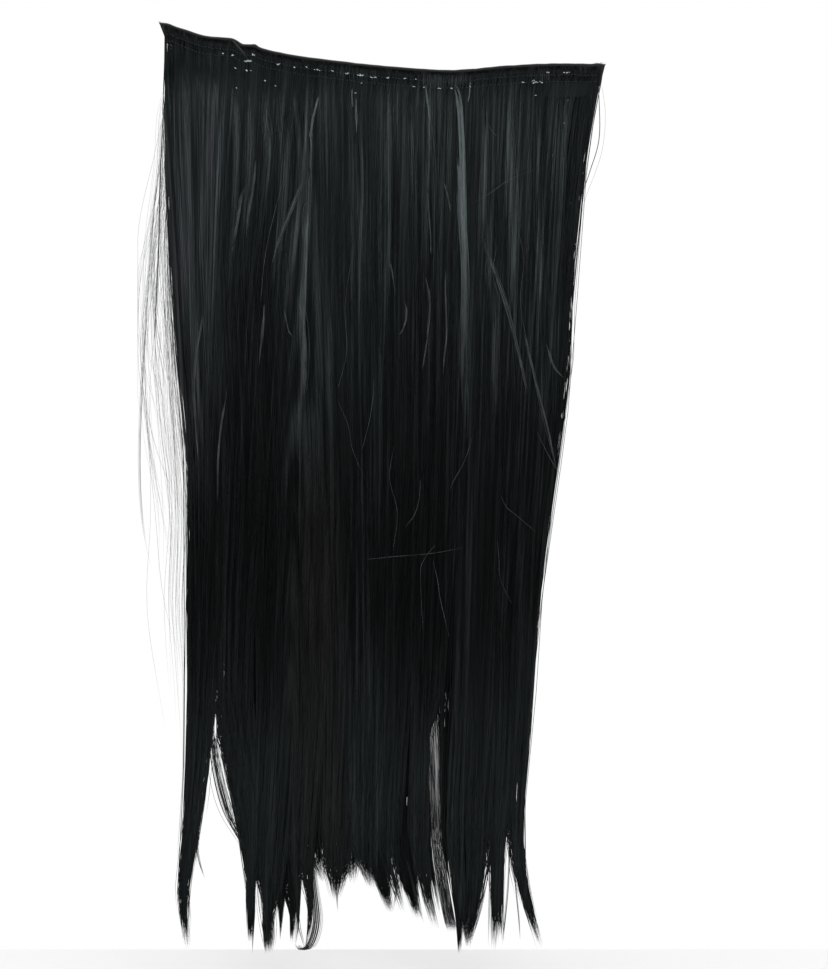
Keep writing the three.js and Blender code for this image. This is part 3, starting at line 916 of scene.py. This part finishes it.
def lock_strands(row, number, count, layer, rng):
    """Paths and radii of the strands of one lock, gathered into wisps that pinch as they fall."""
    lock = row["locks"][number]
    stagger = STAGGER if number % 2 else 0.0
    in_wisp = THIN_WISP_STRANDS if number == row["thin_lock"] else WISP_STRANDS
    wisps = max(count // in_wisp, FEWEST_WISPS)
    wisp = np.arange(count) % wisps
    cell = 2.0 / wisps
    wisp_place = (np.arange(wisps) + 0.5) * cell - 1
    wisp_place += rng.uniform(-WISP_SHIFT, WISP_SHIFT, wisps) * cell
    wisp_depth = mix(layer["shallow"], layer["deep"], rng.uniform(0, 1, wisps))
    pinch = rng.uniform(*WISP_PINCH, wisps)
    swing = rng.normal(0, WISP_SWING, wisps)
    swing_turns = rng.uniform(*WISP_TURNS, wisps)
    swing_start = rng.uniform(0, 1, wisps)
    short = rng.uniform(0, 1, wisps) ** 3 * WISP_SHORT

    offset = rng.uniform(-WISP_FILL, WISP_FILL, count) * cell
    depth = np.clip(wisp_depth[wisp] + rng.normal(0, DEPTH_SCATTER, count), -1, 1)
    stray = np.where(rng.uniform(0, 1, count) < STRAY_SHARE, rng.normal(0, STRAY_REACH, count), 0)
    own_swing = rng.normal(0, OWN_SWING, count)
    own_turns = rng.uniform(*OWN_TURNS, count)
    own_start = rng.uniform(0, 1, count)
    cut = np.abs(rng.normal(0, CUT_SCATTER, count)) + short[wisp]
    cut += np.where(rng.uniform(0, 1, count) < BROKEN_SHARE, rng.uniform(0, BROKEN_CUT, count), 0)
    cut += rng.uniform(0, 1, count) ** 2 * (FINE_CUT if number in row["fine_ends"] else 0)
    fray = rng.normal(0, FRAY, count)
    width_factor = rng.uniform(*STRAND_WIDTHS, count)
    root_scatter = rng.uniform(*ROOT_SCATTER, count)

    stations = np.array(([0, COVER_STATION] if layer["over_band"] else [0]) + FALL_STATIONS)
    shift = rng.uniform(-STATION_SHIFT, STATION_SHIFT, (count, len(stations)))
    shift = shift * np.gradient(stations)
    shift[:, [0, 1, -2, -1]] = 0
    t = stations[None, :] + shift
    centre, width, _ = lock_shape(row, number, np.zeros(1))
    x_root = centre + (wisp_place[wisp] + offset) * width / 2
    root = COVER_ROOT if layer["over_band"] else row["root"]
    z_root = band_top(x_root) - root + root_scatter
    z_end = -HAIR_DROP * lock["reach"] * (1 - cut)
    z = mix(z_root[:, None], z_end[:, None], t)
    if number in row["beside_stripe"]:
        past = z[:, -4] < STRIPE_OPENS - 2 * STRIPE_SPREAD
        level = rng.uniform(-STRIPE_SPREAD, STRIPE_SPREAD, count)
        z[past, -6] = STRIPE_SHUT + level[past]
        z[past, -5] = STRIPE_OPENS + level[past]

    centre, width, thick = lock_shape(row, number, np.clip(-z / HAIR_DROP, 0, 1))
    below_root = np.clip(t * ROOT_HOLD, 0, 1)
    gather = mix(1, pinch[wisp][:, None], smooth((t - PINCH_FROM) / (1 - PINCH_FROM)))
    across = wisp_place[wisp][:, None] + offset[:, None] * gather + stray[:, None] * t**2
    wave = swing[wisp][:, None] * swaying(t, swing_turns[wisp][:, None], swing_start[wisp][:, None])
    wave = wave * (WAVE_AT_ROOT + WAVE_GROWTH * t) * np.clip(width / FULL_WAVE_WIDTH, NARROW_WAVE, 1)
    wave = wave + own_swing[:, None] * swaying(t, own_turns[:, None], own_start[:, None]) * t
    open_end = fray[:, None] * smooth((t - FRAY_FROM) / (1 - FRAY_FROM)) ** 2
    x = centre + across * width / 2 + wave * below_root + open_end
    lens = np.maximum(1 - np.abs(np.clip(across, -1, 1)) ** 3, LENS_EDGE)
    middle = row["flat_side"] + row["facing"] * (thick / 2 + stagger * below_root)
    y = middle + depth[:, None] * lens * thick / 2
    if layer["over_band"]:
        on_band = np.clip(1 - (z_root[:, None] - z) / COVER_FALL, 0, 1)
        y = mix(y, BAND_FRONT - COVER_LIFT, on_band)
    point = np.clip((1 - t) / STRAND_TAPER + STRAND_POINT, STRAND_POINT, 1)
    radius = STRAND_RADIUS * width_factor[:, None] * point
    return np.stack([parted(x, z), y, z], axis=2), radius


def hair_layer(layer):
    """One layer of a row: all its locks' strands as one mesh."""
    row = layer["row"]
    rng = np.random.default_rng(layer["seed"])
    widths = column(row["locks"], "width")
    shares = 0.5 / len(widths) + 0.5 * widths / widths.sum()
    paths, radii = [], []
    for number, share in enumerate(shares):
        strands = int(layer["strands"] * share * (THIN_SHARE if number == row["thin_lock"] else 1))
        path, radius = lock_strands(row, number, strands, layer, rng)
        paths.append(path)
        radii.append(radius)
    points, faces = tubes(np.concatenate(paths), np.concatenate(radii))
    finish = HAIR_SURFACE if layer["name"] == "hair_upper_surface" else HAIR_UNDER
    return make_piece(layer["name"], points, faces, finish, [layer["node"]])


def core_runs(row, number):
    """From where to where the inside of a lock is close-packed, as shares of the drop."""
    foot = row["locks"][number]["part"] * CORE_END
    middle = lock_shape(row, number, np.array([foot]))[0][0]
    if abs(middle - STRIPE_PLACE) < STRIPE_CLEAR:
        foot = STRIPE_FOOT
    if number == row["slit_side"]:
        return [(0, SLIT_TOP), (SLIT_FOOT, foot)]
    return [(0, foot)]


def lock_core(row, number, top, foot):
    """The close-packed inside of a lock, which no light passes."""
    t = np.linspace(0, 1, CORE_STATIONS)
    down = mix(top, foot, t)
    centre, width, thick = lock_shape(row, number, down)
    share = 1 if foot == SLIT_TOP else CORE_WIDTH
    taper = np.clip((1.02 - t) * CORE_TAPER, 0.1, 1) * share
    lens = np.array(LENS)
    x = centre[:, None] + lens[None, :, 0] * (width * taper)[:, None] / 2
    y = row["flat_side"] + row["facing"] * thick / 2
    y = y[:, None] + lens[None, :, 1] * thick[:, None] / 2 * CORE_THICK
    z = -down[:, None] * HAIR_DROP + 0 * x
    if top == 0:
        under_band = band_top(x) - BAND_HEIGHT + CORE_UNDER_BAND
        z = mix(under_band, z, smooth(down / CORE_BLEND)[:, None])
    return np.stack([x, y, z], axis=2).reshape(-1, 3), closed_rings(CORE_STATIONS, len(LENS))


def hair_core(name, row, node):
    runs = [(number, run) for number in range(len(row["locks"])) for run in core_runs(row, number)]
    points, faces = joined([lock_core(row, number, top, foot) for number, (top, foot) in runs])
    return make_piece(name, points, faces, HAIR_CORE, [node])


def front_of_hair(z):
    """Front face of the upper row's locks, as y."""
    down = np.clip(-z / HAIR_DROP, 0, 1)
    along = down / FRONT_PART
    fullness = np.interp(along, column(HANG_SECTIONS, "along"), column(HANG_SECTIONS, "thick"))
    return UPPER_BACK - mix(ROOT_THICK, ROW_THICK, fullness) - FRONT_CLEAR


def along_course(course, t):
    """Smooth places along a course of (x, z), at shares of its length."""
    knots = np.array(course, dtype=float)
    table = [{"at": i / (len(knots) - 1), "x": x, "z": z} for i, (x, z) in enumerate(knots)]
    return value_at(table, "at", "x", t), value_at(table, "at", "z", t)


def laid_wisp(course, width, hairs, rng):
    """Strands of a wisp that lies on the front: it leaves the hair, spreads and sinks back in."""
    t = np.linspace(0, 1, WISP_STATIONS)[None, :] + np.zeros((hairs, 1))
    start = rng.uniform(0, LATE_START, hairs)[:, None]
    t = start + t * (rng.uniform(EARLY_END, 1.0, hairs)[:, None] - start)
    x, z = along_course(course, t)
    across = rng.normal(0, LAID_SCATTER, hairs)[:, None]
    spread = width * np.sin(np.pi * np.clip(t * 0.9 + 0.08, 0, 1)) ** 0.6
    wave = rng.normal(0, LAID_SWING, hairs)[:, None]
    wave = wave * swaying(t, LAID_TURNS, rng.uniform(0, 1, hairs)[:, None])
    rise = FRONT_LIFT * np.sin(np.pi * t) ** 0.7 * rng.uniform(0.1, 1.6, hairs)[:, None]
    y = front_of_hair(z) - rise + 0.5 * (1 - np.sin(np.pi * np.clip(t, 0.02, 0.98)))
    return np.stack([x + across * spread + wave, y, z], axis=2)


def laid_wisps(name, table, finish, hairs_per_mm, seed):
    rng = np.random.default_rng(seed)
    paths = [
        laid_wisp(row["course"], row["width"], int(row["width"] * hairs_per_mm) + 4, rng)
        for row in table
    ]
    paths = np.concatenate(paths)
    t = np.linspace(0, 1, WISP_STATIONS)
    ends = np.clip(np.minimum(t, 1 - t) * 8 + 0.3, 0, 1)
    radii = STRAND_RADIUS * ends[None, :] * rng.uniform(0.75, 1.1, len(paths))[:, None]
    points, faces = tubes(paths, radii)
    return make_piece(name, points, faces, finish)


def veil():
    """A single thin layer of hair in the wide parting, through which the light comes."""
    rng = np.random.default_rng(SEEDS["veil"])
    hairs = VEIL["hairs"]
    t = np.linspace(0, 1, 14)[None, :] * rng.uniform(0.9, 1.0, hairs)[:, None]
    x, z = along_course(VEIL["course"], t)
    across = (np.arange(hairs) + rng.uniform(0, 1, hairs)) / hairs - 0.5
    wave = rng.normal(0, VEIL["swing"], hairs)[:, None]
    wave = wave * swaying(t, VEIL["turns"], rng.uniform(0, 1, hairs)[:, None])
    x = x + across[:, None] * VEIL["width"] * (1 - VEIL["narrowing"] * t) + wave
    y = UPPER_BACK + rng.normal(0, VEIL["scatter"], hairs)[:, None] + 0 * t
    radii = VEIL_RADIUS * np.clip((1.03 - t) / 0.1, 0.3, 1)
    points, faces = tubes(np.stack([x, y, z], axis=2), radii)
    return make_piece("parting_veil", points, faces, HAIR_UNDER)


def loose_hairs():
    """Hairs that have come away: over the front, along the left side and at the hem."""
    rng = np.random.default_rng(SEEDS["loose_hairs"])
    t = np.linspace(0, 1, STRAY_STATIONS)[None, :]
    paths, radii = [], []

    def add(x, z, y, radius):
        taper = np.clip((1.02 - t[0]) * 5, 0.3, 1) * np.clip(t[0] * 12 + 0.4, 0, 1)
        paths.append(np.stack([x, y, z], axis=2))
        radii.append(np.full(x.shape, radius) * taper)

    for wisp in SIDE_WISPS:
        for _ in range(wisp["hairs"]):
            x, z = along_course(wisp["course"], t * rng.uniform(0.82, 1.0))
            x = x + rng.normal(0, 0.45) * wisp["spread"] * np.sin(np.pi * (0.1 + 0.75 * t))
            y = UPPER_BACK + rng.normal(0, 0.9) + rng.normal(0, 1.2) * t**2
            add(x, z, y + 0 * x, STRAY_RADIUS * rng.uniform(0.7, 1.4))
    for _ in range(LEFT_HAIRS["count"]):
        top = -rng.uniform(*LEFT_HAIRS["start"])
        low = top - rng.uniform(*LEFT_HAIRS["length"])
        z = mix(top, low, t)
        side = hair_sides(np.clip(-z / HAIR_DROP, 0, 1))[0]
        out = rng.uniform(*LEFT_HAIRS["out"]) * rng.uniform(0.25, 1.0)
        x = side + 1.5 - (out + 1.5) * np.sin(np.pi * np.clip(t * rng.uniform(0.62, 1.0), 0, 1)) ** 0.8
        x = x + 0.5 * swaying(t, rng.uniform(0.6, 2), rng.uniform(0, 1))
        y = -6 + rng.normal(0, 1.5) + rng.normal(0, 1.5) * t
        add(np.maximum(x, LEFT_LIMIT), z, y + 0 * x, STRAY_RADIUS * rng.uniform(0.35, 0.8))
    points, faces = tubes(np.concatenate(paths), np.concatenate(radii))
    return make_piece("loose_hairs", points, faces, STRAY_HAIR)


def seam_fibres():
    """Short upright fibres of the seams, over the lower part of the band."""
    rng = np.random.default_rng(SEEDS["seam_fibres"])
    t = np.linspace(0, 1, 8)[None, :]
    paths = []
    for row in SEAM_FIBRES:
        count = row["hairs"]
        start = rng.uniform(row["from"], row["to"], count)[:, None]
        from_depth = rng.uniform(*FIBRE_TOPS, count)[:, None]
        below = mix(from_depth, rng.uniform(*FIBRE_ENDS, count)[:, None], t)
        x = start + rng.normal(0, 0.5, count)[:, None] * t
        z = band_top(start) - below
        y = front_of_hair(z) + 0.15 - 0.2 * np.sin(np.pi * t)
        paths.append(np.stack([x, y, z], axis=2))
    paths = np.concatenate(paths)
    points, faces = tubes(paths, np.full(paths.shape[:2], SEAM_FIBRE_RADIUS))
    return make_piece("seam_fibres", points, faces, SEAM_HAIR)


def over_hairs():
    """Single hairs that have come away over the front, with painted highlights."""
    rng = np.random.default_rng(SEEDS["over_hairs"])
    t = np.linspace(0, 1, STRAY_STATIONS)[None, :]
    paths, radii = [], []
    for course in OVER_HAIRS:
        x, z = along_course(course, t)
        y = front_of_hair(z) - 0.7 * np.sin(np.pi * t) - 0.3
        paths.append(np.stack([x, y, z], axis=2))
        radii.append(OVER_RADIUS * rng.uniform(0.7, 1.2) * (0.5 + 0.5 * np.sin(np.pi * t)))
    points, faces = tubes(np.concatenate(paths), np.concatenate(radii))
    return make_piece("over_hairs", points, faces, LIT_HAIR)


for hair in LAYERS:
    hair_layer(hair)
hair_core("hair_upper_core", UPPER_ROW, "hair_row_upper")
hair_core("hair_lower_core", LOWER_ROW, "hair_row_lower")
# The sheen, pale and crossing wisps are painted lighter as painted sheen and painted highlights
laid_wisps("sheen_wisps", SHEEN_WISPS, HAIR_SHEEN, hairs_per_mm=7, seed=41)
laid_wisps("pale_wisps", PALE_WISPS, PALE_HAIR, hairs_per_mm=11, seed=42)
laid_wisps("crossing_wisps", CROSSING_WISPS, CROSSING_HAIR, hairs_per_mm=5, seed=43)
seam_fibres()
veil()
loose_hairs()
over_hairs()


# Weft band

BAND_STATIONS = 420
ROLL_POINTS = 15
ROLL_START = -52
ROLL_TURN = 284
FRONT_DEPTHS = (2.6, 3.4, 4.6, 6.2, 8, 10, 12, 13.4)
BACK_DEPTHS = (13.4, 11, 8, 5, 3)
HEM_EDGE = 0.3
RIPPLE = 0.12
RIPPLE_KNOTS = 60
RIB_DEPTH = 0.05
RIB_PITCH = 0.9
TAPE_FOLD = (-93, 3.0, 0.9)
TAPE_KNOT = (-82.5, 1.6, 0.5)
SEAM_ROWS = named_rows("below pitch length y", (8.0, 2.3, 1.9, -6.3), (12.4, 2.6, 2.1, -6.5))
SEAM_MARGIN = 3
STITCH_RADIUS = 0.2
STITCH_SHIFT = 0.12
STITCH_DRIFT = 0.15
STITCH_SLANT = 0.18
STITCH_ARCH = 0.35
GLINT_RADIUS = 0.24
GLINT_HALF = (0.35, 0.75)
GLINT_TURN = 0.35
GLINT_ARCH = 0.25
CLIP_THREAD_RADIUS = 0.16
CLIP_THREAD_SCATTER = 0.07
CLIP_THREAD_START = 0.2
CLIP_THREAD_OVER = 0.45
CLIP_THREAD_LIFT = 0.35
FOLD_RADIUS = 0.38
CORNER_FRAY = {"hairs": 40, "at_right": 30, "inward": (0.3, 7), "left_share": 0.3,
               "reach": (0.8, 2.6), "lean": (0.3, 0.7), "radius": 0.11, "limit": 1.5}
CLIP_THREAD_TURNS = (-0.5, -0.1, 0.3, 0.8, 1.3)
FOLD_COURSE = [(-97.8, 23.4), (-94.5, 19.5), (-90.5, 14.5), (-86.5, 9.5)]


def band_section():
    """The band's section as y and depth below its upper edge, round the roll and down the tape."""
    middle = BAND_BACK - ROLL_RADIUS
    section = []
    for i in range(ROLL_POINTS):
        angle = math.radians(ROLL_START + ROLL_TURN * i / (ROLL_POINTS - 1))
        section.append((middle + ROLL_RADIUS * math.cos(angle), ROLL_RADIUS * (1 - math.sin(angle))))
    section += [(BAND_FRONT, below) for below in FRONT_DEPTHS]
    section += [(BAND_FRONT + HEM_EDGE, BAND_HEIGHT), (BAND_BACK - HEM_EDGE, BAND_HEIGHT)]
    section += [(BAND_BACK, below) for below in BACK_DEPTHS]
    return np.array(section)


def weft_band():
    section = band_section()
    rng = np.random.default_rng(SEEDS["tape"])
    x = np.linspace(-BAND_WIDTH / 2, BAND_WIDTH / 2, BAND_STATIONS)
    knots = np.linspace(x[0], x[-1], RIPPLE_KNOTS)
    ripple = np.interp(x, knots, rng.normal(0, RIPPLE, RIPPLE_KNOTS))
    fold, knot = bulge(x, *TAPE_FOLD), bulge(x, *TAPE_KNOT)
    y, below = section[:, 0][None, :], section[:, 1][None, :]
    shift = x[:, None] + band_lean(x)[:, None] * below
    rib = RIB_DEPTH * np.sin(2 * np.pi * x / RIB_PITCH)[:, None]
    front = y < BAND_BACK - 0.5
    swell = (ripple + fold)[:, None] * bulge(below, 4, 4, 1) + rib
    points = np.stack(
        [
            shift,
            np.where(front, y - np.abs(swell), y),
            band_top(x)[:, None] - below + np.where(below < 1.5, (ripple * 0.8 + knot)[:, None], 0),
        ],
        axis=2,
    )
    faces = closed_rings(BAND_STATIONS, len(section))
    return make_piece("weft_tape", points.reshape(-1, 3), faces, WEFT_TAPE, ["weft_band"])


def stitch_row(below, pitch, length, y, rng):
    """Stitches along the band at a depth below its upper edge."""
    x = np.arange(SEAM_MARGIN - BAND_WIDTH / 2, BAND_WIDTH / 2 - SEAM_MARGIN, pitch)
    x = x + rng.normal(0, STITCH_SHIFT, len(x))
    t = np.linspace(-1, 1, 8)[None, :]
    px = x[:, None] + t * length / 2
    depth = below + rng.normal(0, STITCH_DRIFT, len(x))[:, None] + t * STITCH_SLANT
    front = y - STITCH_ARCH * np.sqrt(np.clip(1 - t**2, 0, 1)) + 0 * px
    return np.stack([px + band_lean(px) * depth, front, band_top(px) - depth], axis=2)


def seam_stitches():
    rng = np.random.default_rng(SEEDS["stitches"])
    paths = np.concatenate([stitch_row(**row, rng=rng) for row in SEAM_ROWS])
    points, faces = tubes(paths, np.full(paths.shape[:2], STITCH_RADIUS), 5)
    return make_piece("seam_stitches", points, faces, DARK_THREAD)


def clear_glints():
    """Painted glints in the seams, as short pieces of pale thread."""
    rng = np.random.default_rng(SEEDS["glints"])
    t = np.linspace(-1, 1, 8)[None, :]
    paths = []
    for row in GLINTS:
        for _ in range(row["count"]):
            x = row["x"] + rng.uniform(-1, 1) * row["spread"]
            below = row["below"] + rng.normal(0, 0.25) + rng.normal(0, 0.1) * row["spread"]
            turn = rng.normal(0, GLINT_TURN)
            half = rng.uniform(*GLINT_HALF)
            px = x + t * half * math.cos(turn)
            depth = below + t * half * math.sin(turn)
            arch = 1 + np.sqrt(np.clip(1 - t**2, 0, 1))
            y = front_of_hair(band_top(px) - depth) - GLINT_ARCH * arch
            paths.append(np.stack([px + band_lean(px) * depth, y, band_top(px) - depth], axis=2))
    paths = np.concatenate(paths)
    points, faces = tubes(paths, np.full(paths.shape[:2], GLINT_RADIUS), 6)
    return make_piece("painted_thread_glints", points, faces, GLINT_THREAD)


def clip_threads():
    """Loops of thread that hold each clip to the band through its eyelets."""
    rng = np.random.default_rng(SEEDS["clip_threads"])
    paths = []
    t = np.linspace(0, 1, 12)
    room = BAND_WIDTH - 2 * CLIP_INSET
    for number in range(CLIP_COUNT):
        middle = room * (number / (CLIP_COUNT - 1) - 0.5)
        height = band_top(np.array([middle]))[0] - BAND_HEIGHT / 2
        ends = band_top(middle + np.array([-CLIP_LENGTH / 2, CLIP_LENGTH / 2]))
        tilt = math.atan2(ends[1] - ends[0], CLIP_LENGTH)
        for side in (-1, 1):
            eye_x = middle + side * LUG_SIDE * math.cos(tilt) - LUG_RISE * math.sin(tilt)
            eye_z = height + side * LUG_SIDE * math.sin(tilt) + LUG_RISE * math.cos(tilt)
            for turn in CLIP_THREAD_TURNS:
                mirrored = 0 if side > 0 else math.pi - 2 * turn
                angle = turn + rng.normal(0, CLIP_THREAD_SCATTER) + mirrored + tilt
                out = mix(CLIP_THREAD_START, LUG_RADIUS + CLIP_THREAD_OVER, smooth(t))
                rise = PLATE_BACK + CLIP_THREAD_LIFT - BAND_BACK
                y = BAND_BACK + 0.1 + rise * np.sin(np.pi * t) ** 0.4
                paths.append(
                    np.stack([eye_x + out * math.cos(angle), y, eye_z + out * math.sin(angle)], axis=1)
                )
    paths = np.array(paths)
    points, faces = tubes(paths, np.full(paths.shape[:2], CLIP_THREAD_RADIUS), 6)
    return make_piece("clip_threads", points, faces, DARK_THREAD)


def tape_fold():
    """The ridge where the tape is folded over on itself."""
    rng = np.random.default_rng(SEEDS["fold"])
    t = np.linspace(0, 1, 14)[None, :] + np.zeros((3, 1))
    x, z = along_course(FOLD_COURSE, t)
    x = x + np.array([[-0.5], [0.0], [0.6]]) * np.sin(np.pi * t)
    y = mix(BAND_FRONT - 0.6, -6.2, t) - 0.3 * np.sin(np.pi * t) + rng.normal(0, 0.05, (3, 1))
    radii = FOLD_RADIUS * np.sin(np.pi * np.clip(t, 0.08, 0.94)) ** 0.5
    points, faces = tubes(np.stack([x, y, z], axis=2), radii, 8)
    return make_piece("tape_fold", points, faces, WEFT_TAPE)


def frayed_corner():
    """Short fibre ends that stand out of the band's two corners."""
    rng = np.random.default_rng(SEEDS["corners"])
    hairs = CORNER_FRAY["hairs"]
    side = np.where(np.arange(hairs) < CORNER_FRAY["at_right"], 1, -1)
    inward = rng.uniform(*CORNER_FRAY["inward"], hairs)
    start = side * (BAND_WIDTH / 2 - inward * np.where(side > 0, 1, CORNER_FRAY["left_share"]))
    reach = rng.uniform(*CORNER_FRAY["reach"], hairs)
    lean = rng.normal(*CORNER_FRAY["lean"], hairs) * side
    t = np.linspace(0, 1, 6)[None, :]
    x = start[:, None] + (reach * lean)[:, None] * t
    z = band_top(start)[:, None] - 1.2 + (reach + 0.6)[:, None] * t - 0.5 * t**2
    y = BAND_BACK - ROLL_RADIUS + rng.normal(0, 0.5, hairs)[:, None] + 0 * t
    limit = BAND_WIDTH / 2 + CORNER_FRAY["limit"]
    x = np.clip(x, -limit, limit)
    radii = CORNER_FRAY["radius"] * np.clip(1.2 - t, 0.3, 1) + np.zeros((hairs, 1))
    points, faces = tubes(np.stack([x, y, z], axis=2), radii)
    return make_piece("frayed_corners", points, faces, DARK_THREAD)


weft_band()
tape_fold()
frayed_corner()
seam_stitches()
clear_glints()
clip_threads()

for number in range(CLIP_COUNT):
    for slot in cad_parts[f"clip_{number + 1}"].material_slots:
        slot.material = LACQUER


# Stage

PHOTO_SCALE = 0.65
VIEW_CENTRE = (20.8, -266.2)
VIEW_HALF_HEIGHT = 969 / 2 * PHOTO_SCALE
VIEW_DISTANCE = 2000
SENSOR = 36

# Floor and light, in metres and watts
FLOOR_LEVEL = -0.6
FLOOR_SIDE = 3
FLOOR_BACK = 0.2
KEY_LIGHT = {"place": (0.15, -1.7, 0.12), "aim": (0, 0, -0.12), "size": (0.6, 0.3), "power": 9}


def make_camera():
    data = bpy.data.cameras.new("camera")
    data.sensor_width = SENSOR
    data.lens = SENSOR / 2 * VIEW_DISTANCE / VIEW_HALF_HEIGHT
    camera = bpy.data.objects.new("camera", data)
    x, z = VIEW_CENTRE
    camera.location = Vector((x, UPPER_BACK - ROW_THICK - VIEW_DISTANCE, z)) * MM
    camera.rotation_euler = (math.radians(90), 0, 0)
    bpy.context.scene.collection.objects.link(camera)
    bpy.context.scene.camera = camera


def make_light(name, place, aim, size, power):
    data = bpy.data.lights.new(name, "AREA")
    data.shape = "RECTANGLE"
    data.size, data.size_y = size
    data.energy = power
    light = bpy.data.objects.new(name, data)
    light.location = place
    light.rotation_euler = (Vector(aim) - Vector(place)).to_track_quat("-Z", "Y").to_euler()
    bpy.context.scene.collection.objects.link(light)


def make_floor():
    corners = [(-1, -FLOOR_SIDE), (1, -FLOOR_SIDE), (1, FLOOR_BACK), (-1, FLOOR_BACK)]
    points = [(side * FLOOR_SIDE, y, FLOOR_LEVEL) for side, y in corners]
    mesh = bpy.data.meshes.new("floor")
    mesh.from_pydata(points, [], [[0, 1, 2, 3]])
    finish = Finish("pale_floor")
    cloud = finish.noise(finish.at(finish.x * 3, finish.y * 3, 0), 3)
    color = finish.blend(cloud, gray(0.9, 0), gray(0.95, 0))
    mesh.materials.append(finish.surface({"Base Color": color, "Roughness": 0.7 + cloud * 0.1}))
    floor = bpy.data.objects.new("floor", mesh)
    bpy.context.scene.collection.objects.link(floor)


def make_world():
    world = bpy.data.worlds.new("studio")
    world.use_nodes = True
    background = world.node_tree.nodes["Background"]
    background.inputs["Color"].default_value = (1.0, 1.0, 1.0, 1.0)
    background.inputs["Strength"].default_value = 1.0
    bpy.context.scene.world = world


make_camera()
make_world()
make_floor()
make_light("key", **KEY_LIGHT)
bpy.context.scene.view_settings.view_transform = "Standard"

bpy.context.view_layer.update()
